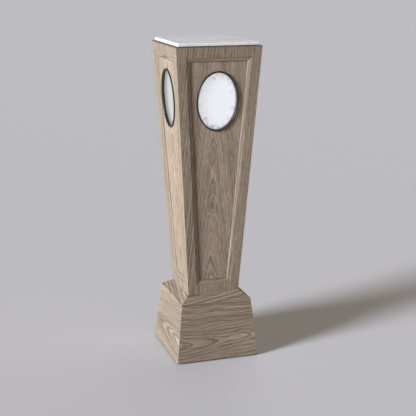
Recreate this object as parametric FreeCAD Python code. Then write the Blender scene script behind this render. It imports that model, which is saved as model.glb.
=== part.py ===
import FreeCAD, Part
import math
import os

# Display plinth: a four-sided column that widens upwards on a sloped base. Each column face is a frame
# with a recessed panel, a mitred moulding and an oval mirror in a metal hoop. A stone slab lies on top.
# Lengths are millimetres. The origin is on the floor under the middle, +Z is up, the front faces -Y.

# Overall sizes
COLUMN_TOP_WIDTH = 305.0  # across the column at its top edge
COLUMN_FOOT_WIDTH = 188.5  # across the column where it stands on the base
COLUMN_HEIGHT = 876.5
BASE_WIDTH = 305.0  # across the base at its lower edge
SHOULDER_WIDTH = 259.0  # across the base where the sloped shoulder begins
BASE_HEIGHT = 211.0  # from the base's lower edge up to the shoulder's edge
SHOULDER_RISE = 22.5  # from the shoulder's edge up to the column's foot
FLOOR_GAP = 4.0  # under the base, with the glides wound in
BOARD = 19.0  # thickness of the column frames, base boards and shoulder boards
INNER_BOARD = 18.0  # thickness of the level boards inside
EDGE_RADIUS = 1.5  # of the upright arrises
EDGE_BEVEL = 1.0  # on the top edge, lower edge and shoulder arris

# Frames and panels of the column
STILE_WIDTH = 33.5
TOP_RAIL_WIDTH = 36.5
BOTTOM_RAIL_WIDTH = 35.0
REBATE = 8.0  # how far a panel reaches behind its stiles and rails
PANEL_RECESS = 7.0  # from the frame's face down to the panel's face
MOULDING_WIDTH = 14.0
MOULDING_STEP = 0.8  # from the frame's face down to the moulding's outer edge
MOULDING_ROUND = 3.0  # radius of the soft outer arris
MOULDING_LIP = 3.0  # run of the steep, slightly round lip beside the panel
MOULDING_LIP_DROP = 3.5
MOULDING_LIP_BULGE = 0.4

# Oval mirrors
OVAL_DROP = 186.0  # from the top edge to the oval's centre, along the face
OVAL_MARGIN = 17.96  # of panel between the ring and the moulding, beside the oval's centre
OVAL_HALF_HEIGHT = 97.8  # inside the ring
RING_WALL = 5.0
RING_RIM_DEPTH = 2.4  # from the frame's face down to the ring's rim
RING_ROUND = 1.2
RING_FIT = 0.2  # gap around the ring in its panel
MIRROR_DEPTH = 12.3  # from the frame's face down to the mirror's face
MIRROR_THICKNESS = 4.0
MIRROR_FIT = 0.5  # gap around the mirror in its panel
BACKER = 9.0  # thickness of the board behind each mirror
BACKER_MARGIN = 12.0  # from the ring's outside to the backer's edge
SCREW_EDGE = 6.0  # from the backer's edge to its screws
SCREW_RADIUS = 1.75
SCREW_HEAD_RADIUS = 3.5
SCREW_HEAD = 2.0
SCREW_BITE = 9.0  # screw length in the panel

# Stone top
STONE_THICKNESS = 10.8
STONE_INSET = 11.0  # from the column's top edge to the stone's edge
STONE_EDGE = 1.0
PAD_THICKNESS = 1.5
PAD_RADIUS = 6.0
PAD_SPACING = 95.0

# Glue blocks, brace and hand hole
COLUMN_BLOCK_LEG = 20.0
BASE_BLOCK_LEG = 30.0
BASE_BLOCK_TOP_GAP = 12.0  # from the blocks' tops up to the shoulder joint
BRACE = 12.0
BRACE_HEIGHT = 400.0  # above the column's foot
HAND_HOLE_RADIUS = 52.5

# Bolts between the base and the column
TIE_SPACING = 70.0
BOLT_RADIUS = 4.0
BOLT_LENGTH = 35.0
BOLT_HEAD = 5.3
BOLT_HEAD_FLATS = 13.0
BOLT_HOLE_RADIUS = 4.5
WASHER = 1.6
WASHER_RADIUS = 8.0
TIE_INSERT_RADIUS = 7.0
TIE_INSERT_LENGTH = 15.0

# Levelling glides
GLIDE_INSET = 45.0  # from the base's lower edge to a glide's axis
GLIDE_SEAT_GAP = 0.5  # between a wound-in foot and the base
GLIDE_FOOT_RADIUS = 15.0
GLIDE_FOOT_ROUND = 1.0
GLIDE_STEM_RADIUS = 4.0
GLIDE_THREAD_GAP = 0.05
GLIDE_STEM_LENGTH = 35.0
GLIDE_INSERT_RADIUS = 6.0
GLIDE_INSERT_LENGTH = 16.0

# Heights that follow
SHOULDER_Z = FLOOR_GAP + BASE_HEIGHT
FOOT_Z = SHOULDER_Z + SHOULDER_RISE
TOP_Z = FOOT_Z + COLUMN_HEIGHT

# The column's lean, the length of its faces, and how fast the faces narrow downwards
COLUMN_FLARE = (COLUMN_TOP_WIDTH - COLUMN_FOOT_WIDTH) / 2
LEAN = math.atan2(COLUMN_FLARE, COLUMN_HEIGHT)
FACE_LENGTH = math.hypot(COLUMN_FLARE, COLUMN_HEIGHT)
NARROWING = math.atan2(COLUMN_FLARE, FACE_LENGTH)
BASE_LEAN = math.atan2((BASE_WIDTH - SHOULDER_WIDTH) / 2, BASE_HEIGHT)
SHOULDER_SLOPE = math.atan2(SHOULDER_RISE, (SHOULDER_WIDTH - COLUMN_FOOT_WIDTH) / 2)

# Half the panel's visible width beside the oval's centre, and half the oval's width inside its ring
PANEL_HALF = COLUMN_TOP_WIDTH / 2 - OVAL_DROP * math.tan(NARROWING)
PANEL_HALF -= (STILE_WIDTH + MOULDING_WIDTH) / math.cos(NARROWING)
OVAL_HALF_WIDTH = PANEL_HALF - OVAL_MARGIN - RING_WALL

SPARE = 5.0  # how far rough pieces stand out before they are trimmed
FACES = ("front", "right", "back", "left")
UP = FreeCAD.Vector(0, 0, 1)


def prism(points, low, high):
    """A solid whose outline is the (x, y) points, from z = low to z = high."""
    outline = [FreeCAD.Vector(x, y, low) for x, y in points]
    wire = Part.makePolygon(outline + outline[:1])
    return Part.Face(wire).extrude(UP * (high - low))


def section_board(points, half_length):
    """A board along X whose section is the (distance out, height) points, on the front side."""
    outline = [FreeCAD.Vector(-half_length, -out, z) for out, z in points]
    wire = Part.makePolygon(outline + outline[:1])
    return Part.Face(wire).extrude(FreeCAD.Vector(2 * half_length, 0, 0))


def ellipse_prism(half_width, half_height, low, high):
    """An upright oval solid about the mirror's centre, in a face's own frame."""
    centre = FreeCAD.Vector(0, OVAL_DROP, low)
    end = centre + FreeCAD.Vector(0, half_height, 0)
    side = centre + FreeCAD.Vector(half_width, 0, 0)
    wire = Part.Wire(Part.Ellipse(end, side, centre).toShape())
    return Part.Face(wire).extrude(UP * (high - low))


def level_square(half, z, radius=0.0):
    """A level square outline with round corners, or sharp ones where the radius is 0."""
    corner = half - radius
    diagonal = radius * math.sqrt(0.5)
    edges = []
    starts = []
    for turn in range(4):
        spin = FreeCAD.Rotation(UP, 90 * turn)
        start = spin.multVec(FreeCAD.Vector(half, corner, z))
        middle = spin.multVec(FreeCAD.Vector(corner + diagonal, corner + diagonal, z))
        end = spin.multVec(FreeCAD.Vector(corner, half, z))
        starts.append((start, middle, end))
    for turn in range(4):
        start, middle, end = starts[turn]
        if radius > 0:
            edges.append(Part.Arc(start, middle, end).toShape())
        edges.append(Part.makeLine(end, starts[(turn + 1) % 4][0]))
    return Part.Wire(edges)


def level_loft(sections, radius=0.0):
    """A four-sided solid through level squares, given as (height, half width)."""
    outlines = [level_square(half, z, radius) for z, half in sections]
    return Part.makeLoft(outlines, True, True)


def front_quarter(sections):
    """The front quarter of a four-sided solid, between the mitre planes of its corners."""
    reach = 2 * max(half for z, half in sections)
    wedge = prism([(0, 0), (-reach, -reach), (reach, -reach)], sections[0][0], sections[-1][0])
    return level_loft(sections, EDGE_RADIUS).common(wedge)


def turned(shape, turn):
    """A copy of a front piece for another side, a quarter turn for each step."""
    copy = shape.copy()
    copy.rotate(FreeCAD.Vector(0, 0, 0), UP, 90 * turn)
    return copy


def around(shape):
    """Four copies of a piece, one for each side."""
    return [turned(shape, turn) for turn in range(4)]


def corners(spacing):
    """The four (x, y) corners of a square of this side."""
    half = spacing / 2
    return [(-half, -half), (half, -half), (half, half), (-half, half)]


def column_half(z):
    """Half the column's outer width at a height."""
    return COLUMN_FOOT_WIDTH / 2 + (z - FOOT_Z) * math.tan(LEAN)


def column_inner_half(z):
    return column_half(z) - BOARD / math.cos(LEAN)


def base_inner_half(z):
    return BASE_WIDTH / 2 - (z - FLOOR_GAP) * math.tan(BASE_LEAN) - BOARD / math.cos(BASE_LEAN)


def corner_block(inner_half, low, high, leg):
    """A three-cornered glue block in the front left corner, along its mitre."""
    outlines = []
    for z in (low, high):
        half = inner_half(z)
        points = [(-half, -half), (leg - half, -half), (-half, leg - half), (-half, -half)]
        outlines.append(Part.makePolygon([FreeCAD.Vector(x, y, z) for x, y in points]))
    return Part.makeLoft(outlines, True, True)


# A face has its own frame: x across it to the right, y down it from its top edge, z into the wood.


def on_front(shape):
    """Moves a solid from a face's own frame to the front of the column."""
    tilt = FreeCAD.Rotation(FreeCAD.Vector(1, 0, 0), math.degrees(LEAN) - 90)
    top_edge = FreeCAD.Vector(0, -COLUMN_TOP_WIDTH / 2, TOP_Z)
    shape.Placement = FreeCAD.Placement(top_edge, tilt)
    return shape


def face_half(down, inset=0.0):
    """Half a face's width at a distance down it, less an inset from its edges."""
    return COLUMN_TOP_WIDTH / 2 - down * math.tan(NARROWING) - inset / math.cos(NARROWING)


def face_outline(upper, lower, inset):
    """The corners of the part of a face between two distances down it, inset from its edges."""
    upper_half = face_half(upper, inset)
    lower_half = face_half(lower, inset)
    return [(-upper_half, upper), (upper_half, upper), (lower_half, lower), (-lower_half, lower)]


def window(grow=0.0):
    """The opening inside the stiles and rails, made larger or smaller on every side."""
    upper = TOP_RAIL_WIDTH - grow
    lower = FACE_LENGTH - BOTTOM_RAIL_WIDTH + grow
    return face_outline(upper, lower, STILE_WIDTH - grow)


def moulding_section():
    """The moulding's (across, depth) outline edges: soft arris, bevel, round lip, and two flat backs."""
    run = MOULDING_WIDTH - MOULDING_LIP
    drop = PANEL_RECESS - MOULDING_LIP_DROP - MOULDING_STEP
    reach = math.hypot(run, drop - MOULDING_ROUND)
    bevel = math.asin(MOULDING_ROUND / reach) + math.atan2(drop - MOULDING_ROUND, run)

    def on_round(angle):
        depth = MOULDING_STEP + MOULDING_ROUND * (1 - math.cos(angle))
        return MOULDING_ROUND * math.sin(angle), depth

    lip_start = (run, PANEL_RECESS - MOULDING_LIP_DROP)
    lip_length = math.hypot(MOULDING_LIP, MOULDING_LIP_DROP)
    lip_middle = (
        run + MOULDING_LIP / 2 + MOULDING_LIP_BULGE * MOULDING_LIP_DROP / lip_length,
        lip_start[1] + MOULDING_LIP_DROP / 2 - MOULDING_LIP_BULGE * MOULDING_LIP / lip_length,
    )
    return [
        ("arc", on_round(0), on_round(bevel / 2), on_round(bevel)),
        ("line", on_round(bevel), lip_start),
        ("arc", lip_start, lip_middle, (MOULDING_WIDTH, PANEL_RECESS)),
        ("line", (MOULDING_WIDTH, PANEL_RECESS), (0, PANEL_RECESS)),
        ("line", (0, PANEL_RECESS), on_round(0)),
    ]


def moulding_length(outer_a, outer_b, inner_b, inner_a):
    """One mitred length, between two corners of the window and the two corners inside them."""
    along = FreeCAD.Vector(outer_b[0] - outer_a[0], outer_b[1] - outer_a[1], 0)
    length = along.Length
    along.normalize()
    across = UP.cross(along)
    start = FreeCAD.Vector(outer_a[0], outer_a[1], 0) - along * MOULDING_WIDTH

    def place(point):
        return start + across * point[0] + UP * point[1]

    edges = []
    for kind, *points in moulding_section():
        placed = [place(point) for point in points]
        edges.append(Part.Arc(*placed).toShape() if kind == "arc" else Part.makeLine(*placed))
    bar = Part.Face(Part.Wire(edges)).extrude(along * (length + 2 * MOULDING_WIDTH))
    return bar.common(prism([outer_a, outer_b, inner_b, inner_a], -SPARE, PANEL_RECESS + SPARE))


def moulding():
    outer = window()
    inner = window(-MOULDING_WIDTH)
    lengths = []
    for side in range(4):
        after = (side + 1) % 4
        lengths.append(moulding_length(outer[side], outer[after], inner[after], inner[side]))
    return lengths


def frame_members():
    """The front face's stiles and rails, rebated for the panel and mitred at the corners."""
    column = front_quarter(
        [(FOOT_Z, column_half(FOOT_Z)),
         (TOP_Z - EDGE_BEVEL, column_half(TOP_Z - EDGE_BEVEL)),
         (TOP_Z, column_half(TOP_Z) - EDGE_BEVEL)]
    )
    opening = window()
    rebate = prism(window(REBATE), PANEL_RECESS, BOARD + SPARE)
    upper, lower = -SPARE, FACE_LENGTH + SPARE
    right_stile = [
        (face_half(upper, STILE_WIDTH), upper),
        (face_half(upper, -SPARE), upper),
        (face_half(lower, -SPARE), lower),
        (face_half(lower, STILE_WIDTH), lower),
    ]
    left_stile = [(-x, y) for x, y in right_stile]
    top_rail = face_outline(upper, opening[0][1], STILE_WIDTH)
    bottom_rail = face_outline(opening[2][1], lower, STILE_WIDTH)
    outlines = {
        "left_stile": left_stile,
        "right_stile": right_stile,
        "top_rail": top_rail,
        "bottom_rail": bottom_rail,
    }
    members = {}
    for name, outline in outlines.items():
        blank = prism(outline, -SPARE, BOARD).cut(rebate)
        members[name] = on_front(blank).common(column)
    return members


def backer_half_width():
    return OVAL_HALF_WIDTH + RING_WALL + BACKER_MARGIN


def backer_half_height():
    return OVAL_HALF_HEIGHT + RING_WALL + BACKER_MARGIN


def backer_screws():
    """Six countersunk screws through a backer into its panel."""
    screws = []
    face = BOARD + BACKER
    out = FreeCAD.Vector(0, 0, -1)
    for x in (SCREW_EDGE - backer_half_width(), backer_half_width() - SCREW_EDGE):
        for y in (-1, 0, 1):
            place = FreeCAD.Vector(x, OVAL_DROP + y * (backer_half_height() - SCREW_EDGE), face)
            head = Part.makeCone(SCREW_HEAD_RADIUS, SCREW_RADIUS, SCREW_HEAD, place, out)
            shank = Part.makeCylinder(SCREW_RADIUS, BACKER + SCREW_BITE, place, out)
            screws.append(head.fuse(shank).removeSplitter())
    return screws


def ring():
    """The oval hoop around the mirror, with a rounded rim."""
    outside = ellipse_prism(
        OVAL_HALF_WIDTH + RING_WALL, OVAL_HALF_HEIGHT + RING_WALL, RING_RIM_DEPTH, MIRROR_DEPTH
    )
    inside = ellipse_prism(OVAL_HALF_WIDTH, OVAL_HALF_HEIGHT, RING_RIM_DEPTH - SPARE, MIRROR_DEPTH + SPARE)
    hoop = outside.cut(inside)
    rim = [edge for edge in hoop.Edges if is_level_at(edge, RING_RIM_DEPTH)]
    return hoop.makeFillet(RING_ROUND, rim)


def is_level_at(edge, z):
    """Whether an edge lies in the level plane at this height."""
    box = edge.BoundBox
    return abs(box.ZMin - z) < 1e-3 and abs(box.ZMax - z) < 1e-3


def oval_pieces():
    """What one face holds apart from its frame, in the face's own frame."""
    hole_gap = RING_WALL + RING_FIT
    hole = ellipse_prism(
        OVAL_HALF_WIDTH + hole_gap, OVAL_HALF_HEIGHT + hole_gap, PANEL_RECESS - SPARE, BOARD + SPARE
    )
    screws = backer_screws()
    panel = prism(window(REBATE), PANEL_RECESS, BOARD).cut(hole).cut(Part.makeCompound(screws))
    glass_gap = hole_gap - MIRROR_FIT
    glass_back = MIRROR_DEPTH + MIRROR_THICKNESS
    mirror = ellipse_prism(
        OVAL_HALF_WIDTH + glass_gap, OVAL_HALF_HEIGHT + glass_gap, MIRROR_DEPTH, glass_back
    )
    pad = ellipse_prism(OVAL_HALF_WIDTH + glass_gap, OVAL_HALF_HEIGHT + glass_gap, glass_back, BOARD)
    half_width = backer_half_width()
    upper = OVAL_DROP - backer_half_height()
    lower = OVAL_DROP + backer_half_height()
    outline = [(-half_width, upper), (half_width, upper), (half_width, lower), (-half_width, lower)]
    backer = prism(outline, BOARD, BOARD + BACKER).cut(Part.makeCompound(screws))
    return {"panel": panel, "mirror": mirror, "pad": pad, "backer": backer, "screws": screws}


def base_sides():
    """The front base board and shoulder board, which meet in a bevel at the shoulder's edge."""
    arris_half = SHOULDER_WIDTH / 2
    foot_half = COLUMN_FOOT_WIDTH / 2
    under_bevel = EDGE_BEVEL * math.tan(BASE_LEAN)
    over_bevel = EDGE_BEVEL / math.tan(SHOULDER_SLOPE)
    body = front_quarter(
        [(FLOOR_GAP, BASE_WIDTH / 2 - EDGE_BEVEL),
         (FLOOR_GAP + EDGE_BEVEL, BASE_WIDTH / 2 - under_bevel),
         (SHOULDER_Z - EDGE_BEVEL, arris_half + under_bevel),
         (SHOULDER_Z + EDGE_BEVEL / 2, arris_half - over_bevel / 2),
         (FOOT_Z, foot_half)]
    )
    down_angle = BASE_LEAN - math.pi / 2
    up_angle = math.pi - SHOULDER_SLOPE
    inward = (down_angle + up_angle) / 2 + math.pi
    joint = (math.cos(inward), math.sin(inward))
    joint_length = BOARD / math.sin((up_angle - down_angle) / 2)
    joint_inner = (arris_half + joint_length * joint[0], SHOULDER_Z + joint_length * joint[1])
    joint_outer = (arris_half - SPARE * joint[0], SHOULDER_Z - SPARE * joint[1])
    base = [
        (BASE_WIDTH / 2 + SPARE, FLOOR_GAP),
        joint_outer,
        joint_inner,
        (base_inner_half(FLOOR_GAP), FLOOR_GAP),
    ]
    shoulder = [
        joint_outer,
        (foot_half, FOOT_Z + SPARE),
        (foot_half, FOOT_Z - BOARD / math.cos(SHOULDER_SLOPE)),
        joint_inner,
    ]
    length = BASE_WIDTH / 2 + SPARE
    base_board = section_board(base, length).common(body)
    shoulder_board = section_board(shoulder, length).common(body)
    return base_board, shoulder_board, joint_inner[1]


def stone_top():
    half = COLUMN_TOP_WIDTH / 2 - STONE_INSET
    low = TOP_Z + PAD_THICKNESS
    slab = prism(corners(2 * half), low, low + STONE_THICKNESS)
    return slab.makeFillet(STONE_EDGE, slab.Edges)


def stone_pads():
    places = [(0, 0)] + corners(2 * PAD_SPACING)
    return [
        Part.makeCylinder(PAD_RADIUS, PAD_THICKNESS, FreeCAD.Vector(x, y, TOP_Z)) for x, y in places
    ]


def tie_fixings():
    """Hex bolts, washers and threaded bushes that hold the column on the base."""
    bolts = []
    washers = []
    inserts = []
    seat = FOOT_Z - INNER_BOARD - WASHER
    for x, y in corners(TIE_SPACING):
        shank = Part.makeCylinder(BOLT_RADIUS, BOLT_LENGTH, FreeCAD.Vector(x, y, seat))
        radius = BOLT_HEAD_FLATS / math.sqrt(3)
        turns = [math.pi / 3 * step for step in range(6)]
        outline = [(x + radius * math.cos(turn), y + radius * math.sin(turn)) for turn in turns]
        head = prism(outline, seat - BOLT_HEAD, seat)
        bolts.append(head.fuse(shank).removeSplitter())
        disc = Part.makeCylinder(WASHER_RADIUS, WASHER, FreeCAD.Vector(x, y, seat))
        washers.append(disc.cut(shank))
        bush = Part.makeCylinder(TIE_INSERT_RADIUS, TIE_INSERT_LENGTH, FreeCAD.Vector(x, y, FOOT_Z))
        inserts.append(bush.cut(shank))
    return bolts, washers, inserts


def drilled(board, places, radius, low, high):
    """A level board with an upright hole through it at each (x, y) place."""
    for x, y in places:
        board = board.cut(Part.makeCylinder(radius, high - low, FreeCAD.Vector(x, y, low)))
    return board


def tapered_board(inner_half, low, high):
    """A level board that fills the inside between two heights."""
    return level_loft([(low, inner_half(low)), (high, inner_half(high))])


def glide_places():
    return corners(BASE_WIDTH - 2 * GLIDE_INSET)


def glide(x, y):
    """A screw-in glide: a round foot with rounded edges under a stem."""
    foot_height = FLOOR_GAP - GLIDE_SEAT_GAP
    foot = Part.makeCylinder(GLIDE_FOOT_RADIUS, foot_height, FreeCAD.Vector(x, y, 0))
    foot = foot.makeFillet(GLIDE_FOOT_ROUND, [edge for edge in foot.Edges if is_level_at(edge, 0)])
    stem = Part.makeCylinder(
        GLIDE_STEM_RADIUS - GLIDE_THREAD_GAP, GLIDE_STEM_LENGTH, FreeCAD.Vector(x, y, foot_height)
    )
    return foot.fuse(stem).removeSplitter()


def glide_inserts():
    """Threaded bushes flush with the underside of the bottom board."""
    bushes = []
    for x, y in glide_places():
        place = FreeCAD.Vector(x, y, FLOOR_GAP)
        bush = Part.makeCylinder(GLIDE_INSERT_RADIUS, GLIDE_INSERT_LENGTH, place)
        bushes.append(bush.cut(Part.makeCylinder(GLIDE_STEM_RADIUS, GLIDE_INSERT_LENGTH, place)))
    return bushes


def column_nodes():
    """The four faces of the column, and what holds them together inside."""
    nodes = {}
    members = frame_members()
    pieces = oval_pieces()
    hoop = on_front(ring())
    lengths = [on_front(length) for length in moulding()]
    for turn, face in enumerate(FACES):
        for name, member in members.items():
            nodes[face + "_" + name] = [turned(member, turn)]
        nodes[face + "_panel"] = [turned(on_front(pieces["panel"]), turn)]
        nodes[face + "_moulding"] = [turned(length, turn) for length in lengths]
        nodes[face + "_ring"] = [turned(hoop, turn)]
        nodes[face + "_mirror"] = [turned(on_front(pieces["mirror"]), turn)]
    nodes["mirror_pads"] = around(on_front(pieces["pad"]))
    nodes["mirror_backers"] = around(on_front(pieces["backer"]))
    nodes["backer_screws"] = [copy for screw in pieces["screws"] for copy in around(on_front(screw))]

    floor = FOOT_Z + INNER_BOARD
    ceiling = TOP_Z - INNER_BOARD
    brace_low = FOOT_Z + BRACE_HEIGHT
    brace_high = brace_low + BRACE
    foot_board = tapered_board(column_inner_half, FOOT_Z, floor)
    nodes["column_foot_board"] = [
        drilled(foot_board, corners(TIE_SPACING), TIE_INSERT_RADIUS, FOOT_Z, floor)
    ]
    nodes["column_brace"] = [tapered_board(column_inner_half, brace_low, brace_high)]
    nodes["top_board"] = [tapered_board(column_inner_half, ceiling, TOP_Z)]
    lower_block = corner_block(column_inner_half, floor, brace_low, COLUMN_BLOCK_LEG)
    upper_block = corner_block(column_inner_half, brace_high, ceiling, COLUMN_BLOCK_LEG)
    nodes["column_corner_blocks"] = around(lower_block) + around(upper_block)
    nodes["stone_top"] = [stone_top()]
    nodes["stone_pads"] = stone_pads()
    return nodes


def base_nodes():
    """The base, the shoulder, the bolts up into the column and the levelling glides."""
    nodes = {}
    base_board, shoulder_board, joint_z = base_sides()
    for turn, face in enumerate(FACES):
        nodes["base_" + face] = [turned(base_board, turn)]
        nodes["shoulder_" + face] = [turned(shoulder_board, turn)]
    seat = FOOT_Z - INNER_BOARD
    seat_board = prism(corners(COLUMN_FOOT_WIDTH), seat, FOOT_Z)
    nodes["base_top_board"] = [drilled(seat_board, corners(TIE_SPACING), BOLT_HOLE_RADIUS, seat, FOOT_Z)]
    floor = FLOOR_GAP + INNER_BOARD
    bottom = tapered_board(base_inner_half, FLOOR_GAP, floor)
    bottom = drilled(bottom, [(0, 0)], HAND_HOLE_RADIUS, FLOOR_GAP, floor)
    nodes["bottom_board"] = [drilled(bottom, glide_places(), GLIDE_INSERT_RADIUS, FLOOR_GAP, floor)]
    block = corner_block(base_inner_half, floor, joint_z - BASE_BLOCK_TOP_GAP, BASE_BLOCK_LEG)
    nodes["base_corner_blocks"] = around(block)
    nodes["tie_bolts"], nodes["tie_washers"], nodes["tie_inserts"] = tie_fixings()
    nodes["glide_inserts"] = glide_inserts()
    for number, (x, y) in enumerate(glide_places(), start=1):
        nodes["glide_" + str(number)] = [glide(x, y)]
    return nodes


def main():
    os.makedirs("parts", exist_ok=True)
    for name, solids in {**column_nodes(), **base_nodes()}.items():
        shape = solids[0] if len(solids) == 1 else Part.makeCompound(solids)
        shape.exportStep("parts/" + name + ".step")


main()
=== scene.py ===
import math

import bpy
from mathutils import Matrix, Vector


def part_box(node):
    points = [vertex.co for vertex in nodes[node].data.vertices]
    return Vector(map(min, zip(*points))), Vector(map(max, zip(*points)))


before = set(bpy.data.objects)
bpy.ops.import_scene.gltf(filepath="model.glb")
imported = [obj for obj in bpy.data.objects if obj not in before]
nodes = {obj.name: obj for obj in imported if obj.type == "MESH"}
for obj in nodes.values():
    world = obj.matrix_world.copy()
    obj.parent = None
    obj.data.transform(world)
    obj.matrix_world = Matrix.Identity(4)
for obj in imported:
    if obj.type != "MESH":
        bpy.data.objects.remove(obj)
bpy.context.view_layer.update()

FACES = ("front", "right", "back", "left")
# The axis that runs across each face, as an index into (x, y, z).
ACROSS = {"front": 0, "right": 1, "back": 0, "left": 1}
UPRIGHT = 2

# Camera: place and view direction in the row frame, metres and degrees.
CAMERA_PLACE = (-1.0636, -3.2660, 1.4104)
CAMERA_YAW = 18.20  # to the right of +Y
CAMERA_PITCH = 14.44  # below level
CAMERA_ROLL = 0.12
CAMERA_LENS = 85.4  # in mm, as the sensor
SENSOR_WIDTH = 36.0

# Suns: azimuth is in degrees from -X towards -Y, height in degrees above level, softness in degrees across.
# The key comes from the left, a little in front. The fill comes from behind, on the right.
KEY = dict(azimuth=15.8, height=15.0, strength=5.5, softness=17.0, colour=(0.975, 1.01, 1.09))
BACK_FILL = dict(azimuth=222.0, height=14.0, strength=1.3, softness=100.0, colour=(1.0, 0.97, 0.93))

# The surround: warm shade on surfaces, and a pale room behind them and in reflections.
SHADE_COLOUR = (1.34, 1.0, 0.58)
SHADE_STRENGTH = 0.10
ROOM_COLOUR = (0.49, 0.485, 0.52)

# A white card for the front mirror to reflect.
CARD_PLACE = (0.62, -1.75, 0.54)
CARD_TARGET = (0, -0.14, 0.93)
CARD_WIDTH = 1.5
CARD_HEIGHT = 1.0
CARD_RADIANCE = 0.56

FLOOR_HALF = 30.0
FLOOR_COLOUR = (0.69, 0.70, 0.745)

# The column's frame: the widths of its members, in metres.
STILE = 0.0335
TOP_RAIL = 0.0365
BOTTOM_RAIL = 0.035
FRAME_MEMBERS = ("left_stile", "right_stile", "top_rail", "bottom_rail")

# Oak. A pace says how often a pattern repeats by the metre, across the grain and along it.
OAK_COLOUR = (0.366, 0.290, 0.211)
DRIFT_PACE = (5.0, 2.4)
RIPPLE_PACE = (28.0, 11.0)
FIBRE_PACE = (300.0, 4.5)
PORE_PACE = (820.0, 16.0)
CLOUD_PACE = (9.0, 3.0)
DRIFT = 0.042  # how far the grain wanders in long waves
RIPPLE = 0.005  # and in short ones
RING_DENSITY = 235.0  # growth rings by the metre
LINE_DENSITY = 0.42  # how closely dark lines come, as a share of the rings' density
RING_CLIMB = 0.09  # how fast the growth rings climb through a board
KNOT_SIZE = (0.0035, 0.011)  # across and along the grain
KNOT_PULL = 0.016  # how far a knot bends the rings around it
SHADE_HEIGHTS = (0.62, 0.30)  # the wood darkens from the first height down to the second
# What part of the wood's lightness comes from each pattern
RING_PART = 0.30
FIBRE_PART = 0.56
CLOUD_PART = 0.14
# Tints of the oak's colour
DARK_TINT = 0.58
MIDDLE_TINT = 1.06
LIGHT_TINT = 1.50
# the grain's dark colour, which also paints the shade in the crevices
GRAIN_AND_SHADE_TINT = 0.36
WORN_HIGHLIGHT_TINT = 2.0
PAINTED_SHADE_TINT = 0.25
WORN_HIGHLIT_EDGE = (0.0036, 0.0012)  # distances from an arris: plain, and pale, part worn and part a painted highlight
EDGE_RAGGED = 0.003  # how uneven that edge is

# For each kind of oak piece: where its first stretch of wood is cut, and how light it is.
CUT = {"frame": 1.3, "panel": 6.1, "moulding": 11.7, "base": 16.9, "shoulder": 23.3}
TONE = {"frame": 0.87, "panel": 1.0, "moulding": 0.88, "base": 0.86, "shoulder": 0.86}
COARSE = dict(density=290.0, contrast=1.3)  # the boards of the base and the shoulder

# How mottled each mirror is, and the colour of its silvering
MIRROR_AGE = {"front": 1.0, "right": 0.8, "back": 0.9, "left": 0.35}
SILVER = (0.89, 0.91, 0.94)
SHADED_LEFT_SILVER = (0.82, 0.84, 0.80)  # the left mirror's silvering: darker and less blue, as painted shade against the key that falls on it

# Half widths of the tapered bodies, each at its lower and upper height: (height, half width).
COLUMN = ((0.2375, 0.09425), (1.114, 0.1525))
BASE = ((0.004, 0.1525), (0.215, 0.1295))
SHOULDER = ((0.215, 0.1295), (0.2375, 0.09425))
# Heights between which painted shade darkens the oak, (plain, darkest): the shadow under the stone, and the
# contact shade at the lower edge.
PAINTED_SHADE_BANDS = {COLUMN: (1.1108, 1.1130), BASE: (0.0080, 0.0050)}


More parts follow.
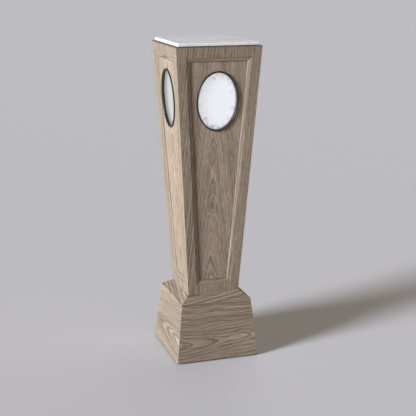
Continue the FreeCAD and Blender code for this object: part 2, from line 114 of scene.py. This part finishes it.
class Shader:
    """A material being built from nodes, with short calls for the ones used here."""

    MIX_INPUTS = (0, 6, 7)  # a colour mix node's factor, first colour and second colour
    MIX_OUTPUT = 2

    def __init__(self, name):
        self.material = bpy.data.materials.new(name)
        self.material.use_nodes = True
        self.tree = self.material.node_tree
        self.surface = self.tree.nodes["Principled BSDF"]

    def put(self, value, socket):
        """Links a socket to the value where it is one, or sets it."""
        if isinstance(value, bpy.types.NodeSocket):
            self.tree.links.new(value, socket)
        else:
            socket.default_value = value

    def math(self, operation, a, b=0.0, clamp=False):
        node = self.tree.nodes.new("ShaderNodeMath")
        node.operation = operation
        node.use_clamp = clamp
        self.put(a, node.inputs[0])
        self.put(b, node.inputs[1])
        return node.outputs[0]

    def add(self, a, b):
        return self.math("ADD", a, b)

    def subtract(self, a, b):
        return self.math("SUBTRACT", a, b)

    def multiply(self, a, b):
        return self.math("MULTIPLY", a, b)

    def length(self, a, b):
        """How long the diagonal over two lengths is."""
        return self.math("SQRT", self.add(self.multiply(a, a), self.multiply(b, b)))

    def place(self):
        """The point's x, y and z in the row frame."""
        coordinates = self.tree.nodes.new("ShaderNodeTexCoord")
        split = self.tree.nodes.new("ShaderNodeSeparateXYZ")
        self.put(coordinates.outputs["Object"], split.inputs[0])
        return [split.outputs[axis] for axis in range(3)]

    def vector(self, x, y, z):
        node = self.tree.nodes.new("ShaderNodeCombineXYZ")
        for value, socket in zip((x, y, z), node.inputs):
            self.put(value, socket)
        return node.outputs[0]

    def noise(self, vector, scale, detail, roughness=0.5):
        node = self.tree.nodes.new("ShaderNodeTexNoise")
        self.put(vector, node.inputs["Vector"])
        node.inputs["Scale"].default_value = scale
        node.inputs["Detail"].default_value = detail
        node.inputs["Roughness"].default_value = roughness
        return node.outputs["Fac"]

    def bands(self, value, scale, detail=2.0):
        """Noise along one number: irregular bands."""
        node = self.tree.nodes.new("ShaderNodeTexNoise")
        node.noise_dimensions = "1D"
        self.put(value, node.inputs["W"])
        node.inputs["Scale"].default_value = scale
        node.inputs["Detail"].default_value = detail
        return node.outputs["Fac"]

    def remap(self, value, low, high, new_low=0.0, new_high=1.0):
        """A smooth step from new_low to new_high as the value goes from low to high."""
        node = self.tree.nodes.new("ShaderNodeMapRange")
        node.interpolation_type = "SMOOTHSTEP"
        self.put(value, node.inputs["Value"])
        node.inputs["From Min"].default_value = low
        node.inputs["From Max"].default_value = high
        node.inputs["To Min"].default_value = new_low
        node.inputs["To Max"].default_value = new_high
        return node.outputs["Result"]

    def ramp(self, value, *stops):
        """Colours by value: (place, (r, g, b)) stops in linear light."""
        node = self.tree.nodes.new("ShaderNodeValToRGB")
        self.put(value, node.inputs["Fac"])
        elements = node.color_ramp.elements
        while len(elements) < len(stops):
            elements.new(0.5)
        for element, (place, colour) in zip(elements, stops):
            element.position = place
            element.color = (*colour, 1.0)
        return node.outputs["Color"]

    def mix(self, factor, a, b):
        node = self.tree.nodes.new("ShaderNodeMix")
        node.data_type = "RGBA"
        for value, index in zip((factor, a, b), self.MIX_INPUTS):
            self.put((*value, 1.0) if isinstance(value, tuple) else value, node.inputs[index])
        return node.outputs[self.MIX_OUTPUT]

    def bump(self, height, distance, strength):
        node = self.tree.nodes.new("ShaderNodeBump")
        node.inputs["Strength"].default_value = strength
        node.inputs["Distance"].default_value = distance
        self.put(height, node.inputs["Height"])
        self.put(node.outputs["Normal"], self.surface.inputs["Normal"])

    def set(self, **values):
        """Sets the surface's sockets by name, with _ for a space."""
        for name, value in values.items():
            socket = self.surface.inputs[name.replace("_", " ")]
            is_colour = isinstance(value, tuple) and socket.type == "RGBA"
            self.put((*value, 1.0) if is_colour else value, socket)


def half_width(shader, place, body):
    """Half of a tapered body's width at the point's height."""
    (low, low_half), (high, high_half) = body
    taper = (high_half - low_half) / (high - low)
    return shader.add(shader.multiply(place[UPRIGHT], taper), low_half - taper * low)


def edge_gap(shader, place, body):
    """How far a point on a tapered body's face is from the nearest upright arris."""
    sides = [shader.math("ABSOLUTE", place[axis]) for axis in (0, 1)]
    return shader.subtract(half_width(shader, place, body), shader.math("MINIMUM", *sides))


def frame_gaps(shader, place, across):
    """How far a point on a column face lies inside the frame: from its two sides, and from its ends."""
    from_middle = shader.math("ABSOLUTE", place[across])
    side = shader.subtract(half_width(shader, place, COLUMN), from_middle)
    top = shader.subtract(COLUMN[1][0] - TOP_RAIL, place[UPRIGHT])
    foot = shader.subtract(place[UPRIGHT], COLUMN[0][0] + BOTTOM_RAIL)
    return shader.subtract(side, STILE), shader.math("MINIMUM", top, foot)


def swapped(shader, place, across, side, end):
    """The point with its axes swapped in the lengths that run across the face, where the grain does too."""
    level = shader.math("GREATER_THAN", side, end)
    shift = shader.multiply(shader.subtract(place[UPRIGHT], place[across]), level)
    place = list(place)
    place[across] = shader.add(place[across], shift)
    place[UPRIGHT] = shader.subtract(place[UPRIGHT], shift)
    return place


def knot_reach(shader, place, across, along, knot):
    """How many knot sizes a point is from the knot's middle."""
    aside = shader.math("DIVIDE", shader.subtract(place[across], knot[0]), KNOT_SIZE[0])
    away = shader.math("DIVIDE", shader.subtract(place[along], knot[1]), KNOT_SIZE[1])
    return shader.length(aside, away)


def oak_tint(share):
    """The oak's colour, darker or lighter by a share."""
    return tuple(share * part for part in OAK_COLOUR)


def worn_highlit_and_shaded(shader, colour, place, body, ripple, tone):
    """The colour with pale arrises, part worn and part a painted highlight, and with painted shade in the
    body's band of heights.
    """
    # pale arrises: part worn, part a painted highlight where rounded edges catch the key
    edge = shader.add(edge_gap(shader, place, body), shader.multiply(ripple, EDGE_RAGGED))
    wear_and_highlight = shader.multiply(shader.remap(edge, *WORN_HIGHLIT_EDGE), 0.25)
    colour = shader.mix(wear_and_highlight, colour, oak_tint(WORN_HIGHLIGHT_TINT * tone))
    # painted shade: the shadow under the stone, and the contact shade at the base's foot
    if body in PAINTED_SHADE_BANDS:
        painted_shade = shader.remap(place[UPRIGHT], *PAINTED_SHADE_BANDS[body], 0.0, 0.65)
        colour = shader.mix(painted_shade, colour, oak_tint(PAINTED_SHADE_TINT))
    return colour


def oak(
    name, across, along, seed, body, tone, heart=0.0, heart_depth=0.03, density=RING_DENSITY,
    creases=(), mitred=False, knot=None, shade=0.0, contrast=1.0,
):
    """Limed oak, with grain that runs along one axis of a face on one of the tapered bodies.

    heart: where the figure's arches stand across the grain; heart_depth: how blunt the arches are
    density: growth rings by the metre
    creases: (plain, darkest) pairs of distances inside the frame, between which painted shade darkens the
    crevices
    mitred: the grain follows each of four mitred lengths
    knot: a knot's middle, across and along
    shade: how much darker the wood is towards the bottom
    contrast: of light wood to dark
    """
    shader = Shader(name)
    true_place = shader.place()
    place = true_place
    if creases or mitred:
        side_gap, end_gap = frame_gaps(shader, true_place, across)
    if mitred:
        place = swapped(shader, true_place, across, side_gap, end_gap)
    u = shader.subtract(place[across], heart)
    v = shader.add(place[along], seed * 1.37)
    w = shader.add(place[3 - across - along], seed * 0.71)

    def stretched(pace, from_heart):
        sideways, lengthways = pace
        return shader.vector(
            shader.multiply(from_heart, sideways),
            shader.multiply(v, lengthways),
            shader.multiply(w, sideways),
        )

    drift = shader.subtract(shader.noise(stretched(DRIFT_PACE, u), 1.0, 2.0), 0.5)
    ripple = shader.subtract(shader.noise(stretched(RIPPLE_PACE, u), 1.0, 2.0), 0.5)
    wander = shader.add(shader.multiply(drift, DRIFT), shader.multiply(ripple, RIPPLE))
    side = shader.add(u, wander)
    spread = shader.math("SQRT", shader.add(shader.multiply(side, side), heart_depth ** 2))
    growth = shader.add(spread, shader.multiply(v, RING_CLIMB))
    growth = shader.add(growth, wander)
    if knot:
        reach = knot_reach(shader, place, across, along, knot)
        growth = shader.add(growth, shader.remap(reach, 5.0, 0.3, 0.0, KNOT_PULL))

    rings = shader.bands(growth, density, 3.5)
    early = shader.remap(rings, 0.55, 0.38)
    contour = shader.subtract(shader.bands(growth, LINE_DENSITY * density, 1.0), 0.5)
    lines = shader.remap(shader.math("ABSOLUTE", contour), 0.055, 0.0)
    fibres = shader.noise(stretched(FIBRE_PACE, side), 1.0, 4.0, 0.7)
    pores = shader.remap(shader.noise(stretched(PORE_PACE, side), 1.0, 1.0), 0.47, 0.62)
    pores = shader.multiply(pores, shader.math("ADD", early, 0.28, clamp=True))
    cloud = shader.noise(stretched(CLOUD_PACE, u), 1.0, 2.0)

    depth = shader.add(shader.multiply(rings, RING_PART), shader.multiply(fibres, FIBRE_PART))
    depth = shader.add(depth, shader.multiply(cloud, CLOUD_PART))
    if shade:
        depth = shader.subtract(depth, shader.remap(true_place[UPRIGHT], *SHADE_HEIGHTS, 0.0, shade))
    depth = shader.multiply(shader.subtract(depth, 0.5), contrast)
    colour = shader.ramp(
        shader.add(depth, 0.5),
        (0.30, oak_tint(DARK_TINT * tone)),
        (0.50, oak_tint(MIDDLE_TINT * tone)),
        (0.68, oak_tint(LIGHT_TINT * tone)),
    )
    grain = oak_tint(GRAIN_AND_SHADE_TINT * tone)
    line_depth = shader.remap(fibres, 0.7, 0.3, 0.32 * contrast, 0.64 * contrast)
    colour = shader.mix(shader.multiply(pores, 0.7), colour, grain)
    colour = shader.mix(shader.multiply(lines, line_depth), colour, grain)
    if knot:
        colour = shader.mix(shader.remap(reach, 1.5, 0.5, 0.0, 0.75), colour, grain)
    # painted shade in the crevices by the moulding, in the grain's dark colour
    if creases:
        gap = shader.math("MINIMUM", side_gap, end_gap)
        for unshaded, shaded in creases:
            colour = shader.mix(shader.remap(gap, unshaded, shaded, 0.0, 0.7), colour, grain)

    colour = worn_highlit_and_shaded(shader, colour, true_place, body, ripple, tone)
    sheen = shader.remap(fibres, 0.2, 0.8, 0.72, 0.58)
    shader.set(Base_Color=colour, Roughness=sheen, Specular_IOR_Level=0.14)
    shader.bump(shader.subtract(shader.multiply(fibres, 0.4), pores), 0.0003, 0.7)
    return shader.material


def plywood(name):
    """Pale sanded ply: broad soft figure on the faces and thin plies on the edges."""
    shader = Shader(name)
    x, y, z = shader.place()
    stretched = shader.vector(shader.multiply(x, 6.0), shader.multiply(y, 60.0), z)
    figure = shader.noise(stretched, 1.0, 3.0)
    plies = shader.math("PINGPONG", z, 0.0015)
    layer = shader.remap(plies, 0.0004, 0.0011)
    face = shader.ramp(figure, (0.3, (0.50, 0.36, 0.21)), (0.7, (0.66, 0.51, 0.33)))
    colour = shader.mix(shader.multiply(layer, 0.25), face, (0.36, 0.24, 0.13))
    shader.set(Base_Color=colour, Roughness=0.65)
    shader.bump(figure, 0.0002, 0.4)
    return shader.material


def softwood(name):
    shader = Shader(name)
    x, y, z = shader.place()
    growth = shader.add(shader.add(x, y), shader.multiply(z, 0.03))
    rings = shader.bands(growth, 300.0)
    colour = shader.ramp(rings, (0.3, (0.52, 0.34, 0.16)), (0.7, (0.72, 0.56, 0.34)))
    shader.set(Base_Color=colour, Roughness=0.6)
    shader.bump(rings, 0.0002, 0.4)
    return shader.material


def marble(name):
    """White polished stone with faint grey clouds and thin veins."""
    shader = Shader(name)
    x, y, z = shader.place()
    where = shader.vector(x, y, z)
    cloud = shader.noise(where, 9.0, 4.0)
    drift = shader.multiply(shader.noise(where, 5.0, 3.0), 0.5)
    vein_place = shader.add(shader.add(x, shader.multiply(y, 0.6)), drift)
    contour = shader.subtract(shader.bands(vein_place, 9.0), 0.5)
    veins = shader.remap(shader.math("ABSOLUTE", contour), 0.0, 0.03)
    colour = shader.ramp(cloud, (0.3, (0.83, 0.84, 0.85)), (0.6, (0.93, 0.94, 0.95)))
    vein_depth = shader.multiply(shader.subtract(1.0, veins), 0.18)
    veined = shader.mix(vein_depth, colour, (0.55, 0.56, 0.57))
    shader.set(Base_Color=veined, Roughness=shader.remap(cloud, 0.3, 0.7, 0.10, 0.16), Specular_IOR_Level=0.6)
    shader.set(Subsurface_Weight=0.35, Subsurface_Radius=(0.02, 0.02, 0.018), Subsurface_Scale=0.4)
    shader.bump(cloud, 0.00005, 0.3)
    return shader.material


def mirror(face, age, silver):
    """Antiqued glass: bright and faintly hazy, with grey mottling that gathers at the rim with age."""
    shader = Shader("antiqued_mirror_" + face)
    place = shader.place()
    low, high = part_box(face + "_mirror")
    centre = (low + high) / 2
    half = (high - low) / 2

    def reach(axis):
        return shader.math("DIVIDE", shader.subtract(place[axis], centre[axis]), half[axis])

    radius = shader.length(reach(ACROSS[face]), reach(UPRIGHT))
    where = shader.vector(*place)
    blotches = shader.noise(where, 75.0, 4.0, 0.65)
    specks = shader.noise(where, 420.0, 2.0, 0.6)
    unevenness = shader.subtract(blotches, 0.5)
    edge = shader.add(radius, shader.multiply(unevenness, 0.9))
    rim = shader.remap(edge, 0.74, 1.04)
    spots = shader.multiply(rim, shader.remap(specks, 0.35, 0.65, 0.35, 1.0))
    haze = shader.remap(blotches, 0.35, 0.75, 0.0, 0.12)
    foxing = shader.multiply(shader.math("ADD", spots, haze, clamp=True), age)
    colour = shader.mix(foxing, silver, (0.56, 0.56, 0.56))
    shader.set(Base_Color=colour, Metallic=shader.remap(foxing, 0.0, 1.0, 0.70, 0.62))
    shader.set(Roughness=shader.remap(foxing, 0.0, 1.0, 0.18, 0.40))
    shader.bump(blotches, 0.0001, 0.3)
    return shader.material


def metal(name, colour, roughness, metallic=1.0):
    """Metal with fine uneven polish and a little dirt."""
    shader = Shader(name)
    where = shader.vector(*shader.place())
    patches = shader.noise(where, 60.0, 4.0, 0.6)
    fine = shader.noise(where, 840.0, 2.0)
    darker = tuple(0.6 * part for part in colour)
    shader.set(Base_Color=shader.ramp(patches, (0.3, darker), (0.65, colour)), Metallic=metallic)
    shader.set(Roughness=shader.remap(fine, 0.3, 0.7, roughness - 0.06, roughness + 0.08))
    shader.bump(fine, 0.00005, 0.3)
    return shader.material


def felt(name):
    shader = Shader(name)
    fluff = shader.noise(shader.vector(*shader.place()), 900.0, 3.0, 0.7)
    colour = shader.ramp(fluff, (0.3, (0.03, 0.03, 0.032)), (0.7, (0.09, 0.09, 0.095)))
    shader.set(Base_Color=colour, Roughness=0.95)
    shader.bump(fluff, 0.0004, 0.8)
    return shader.material


def silicone(name):
    shader = Shader(name)
    cloud = shader.noise(shader.vector(*shader.place()), 200.0, 2.0)
    colour = shader.ramp(cloud, (0.3, (0.66, 0.66, 0.66)), (0.7, (0.78, 0.78, 0.78)))
    shader.set(Base_Color=colour, Roughness=0.35)
    shader.bump(cloud, 0.0001, 0.3)
    return shader.material


def cover(names, material):
    """Gives CAD nodes this material in every slot they have."""
    for name in names:
        slots = nodes[name].material_slots
        if not slots:
            nodes[name].data.materials.append(material)
        for slot in slots:
            slot.material = material


def dress_oak():
    """Each face's frame, panel and moulding, and each board below them, is cut from its own stretch."""
    for number, face in enumerate(FACES):
        across = ACROSS[face]

        def cut(kind, grain_across, grain_along, body, **look):
            name = "oak_" + kind + "_" + face
            return oak(name, grain_across, grain_along, CUT[kind] + number, body, TONE[kind], **look)

        border = cut("frame", across, UPRIGHT, COLUMN, heart=0.31, heart_depth=0.02)
        cover([face + "_" + member for member in FRAME_MEMBERS], border)

        knot = (-0.010 + 0.02 * number, 0.565 - 0.09 * (number % 3))
        # the panel's crease is painted shade along the moulding's inner edge
        panel = cut(
            "panel", across, UPRIGHT, COLUMN,
            heart=-0.012, heart_depth=0.022, creases=[(0.0160, 0.0146)], knot=knot, shade=0.03,
        )
        cover([face + "_panel"], panel)

        # painted shade along the moulding's outer and inner edges
        creases = [(0.0018, 0.0006), (0.0128, 0.0138)]
        moulding = cut("moulding", across, UPRIGHT, COLUMN, heart=0.4, creases=creases, mitred=True)
        cover([face + "_moulding"], moulding)

        cover(["base_" + face], cut("base", UPRIGHT, across, BASE, heart=0.075, **COARSE))
        slope = cut("shoulder", UPRIGHT, across, SHOULDER, heart=0.26, heart_depth=0.02, **COARSE)
        cover(["shoulder_" + face], slope)


def dress_inside():
    boards = ["top_board", "column_brace", "column_foot_board", "base_top_board", "bottom_board"]
    cover(boards, plywood("birch_ply"))
    cover(["mirror_backers"], plywood("backer_ply"))
    cover(["column_corner_blocks", "base_corner_blocks"], softwood("pine_blocks"))
    cover(["mirror_pads"], felt("grey_felt"))
    cover(["stone_pads"], silicone("clear_silicone"))
    cover(["backer_screws", "tie_bolts", "tie_washers"], metal("zinc_plate", (0.62, 0.63, 0.64), 0.32))
    cover(["tie_inserts", "glide_inserts"], metal("turned_brass", (0.75, 0.56, 0.27), 0.3))


def dress():
    dress_oak()
    dress_inside()
    cover(["stone_top"], marble("white_marble"))
    bronze = metal("dark_bronze", (0.050, 0.045, 0.042), 0.30, 0.75)
    for face in FACES:
        # the left mirror's darker silvering is painted shade against the key
        silver = SHADED_LEFT_SILVER if face == "left" else SILVER
        cover([face + "_ring"], bronze)
        cover([face + "_mirror"], mirror(face, MIRROR_AGE[face], silver))
    glides = [name for name in nodes if name.startswith("glide_") and name != "glide_inserts"]
    cover(glides, metal("nickel_plate", (0.50, 0.50, 0.49), 0.35))


def add_floor():
    """A wide, plain pale floor."""
    half = FLOOR_HALF
    corners = [(-half, -half, 0), (half, -half, 0), (half, half, 0), (-half, half, 0)]
    mesh = bpy.data.meshes.new("floor")
    mesh.from_pydata(corners, [], [(0, 1, 2, 3)])
    floor = bpy.data.objects.new("floor", mesh)
    bpy.context.scene.collection.objects.link(floor)
    shader = Shader("pale_floor")
    shader.set(Base_Color=FLOOR_COLOUR, Roughness=0.7, Specular_IOR_Level=0.2)
    mesh.materials.append(shader.material)


def aimed(place, target, roll=0.0):
    """A matrix for a camera or light at a place, facing a target, level but for its roll."""
    forward = (Vector(target) - Vector(place)).normalized()
    right = forward.cross(Vector((0, 0, 1))).normalized()
    up = right.cross(forward)
    turn = Matrix((right, up, -forward)).transposed().to_4x4()
    return Matrix.Translation(Vector(place)) @ turn @ Matrix.Rotation(roll, 4, "Z")


def add_card(name, place, target, width, height, radiance):
    """A soft white card that only reflections see, so that it brightens the mirrors and the gloss."""
    lamp = bpy.data.lights.new(name, "AREA")
    lamp.shape = "RECTANGLE"
    lamp.size = width
    lamp.size_y = height
    lamp.energy = radiance * math.pi * width * height
    card = bpy.data.objects.new(name, lamp)
    card.matrix_world = aimed(place, target)
    card.visible_camera = False
    card.visible_diffuse = False
    bpy.context.scene.collection.objects.link(card)


def add_sun(name, azimuth, height, strength, softness, colour, reflected=True):
    """A soft far light. Azimuth and height say where it stands."""
    lamp = bpy.data.lights.new(name, "SUN")
    lamp.energy = strength
    lamp.angle = math.radians(softness)
    lamp.color = colour
    azimuth = math.radians(azimuth)
    height = math.radians(height)
    level = math.cos(height)
    stand = Vector((-math.cos(azimuth) * level, -math.sin(azimuth) * level, math.sin(height)))
    sun = bpy.data.objects.new(name, lamp)
    sun.matrix_world = aimed(stand, (0, 0, 0))
    sun.visible_glossy = reflected
    bpy.context.scene.collection.objects.link(sun)


def add_world():
    """A dim warm surround for soft shade, which reflections see as a pale room."""
    world = bpy.data.worlds.new("surround")
    world.use_nodes = True
    tree = world.node_tree
    soft = tree.nodes["Background"]
    soft.inputs["Color"].default_value = (*SHADE_COLOUR, 1.0)
    soft.inputs["Strength"].default_value = SHADE_STRENGTH
    room = tree.nodes.new("ShaderNodeBackground")
    room.inputs["Color"].default_value = (*ROOM_COLOUR, 1.0)
    rays = tree.nodes.new("ShaderNodeLightPath")
    either = tree.nodes.new("ShaderNodeMath")
    either.operation = "MAXIMUM"
    tree.links.new(rays.outputs["Is Glossy Ray"], either.inputs[0])
    tree.links.new(rays.outputs["Is Camera Ray"], either.inputs[1])
    blend = tree.nodes.new("ShaderNodeMixShader")
    tree.links.new(either.outputs[0], blend.inputs["Fac"])
    tree.links.new(soft.outputs[0], blend.inputs[1])
    tree.links.new(room.outputs[0], blend.inputs[2])
    tree.links.new(blend.outputs[0], tree.nodes["World Output"].inputs["Surface"])
    bpy.context.scene.world = world


def add_lights():
    add_sun("key", **KEY)
    add_sun("back_fill", **BACK_FILL, reflected=False)
    add_card("front_card", CARD_PLACE, CARD_TARGET, CARD_WIDTH, CARD_HEIGHT, CARD_RADIANCE)
    add_world()


def add_camera():
    yaw = math.radians(CAMERA_YAW)
    pitch = math.radians(CAMERA_PITCH)
    level = math.cos(pitch)
    forward = Vector((math.sin(yaw) * level, math.cos(yaw) * level, -math.sin(pitch)))
    data = bpy.data.cameras.new("camera")
    data.lens = CAMERA_LENS
    data.sensor_width = SENSOR_WIDTH
    camera = bpy.data.objects.new("camera", data)
    camera.matrix_world = aimed(CAMERA_PLACE, Vector(CAMERA_PLACE) + forward, math.radians(CAMERA_ROLL))
    bpy.context.scene.collection.objects.link(camera)
    bpy.context.scene.camera = camera


dress()
add_floor()
add_lights()
add_camera()
bpy.context.scene.view_settings.view_transform = "Standard"
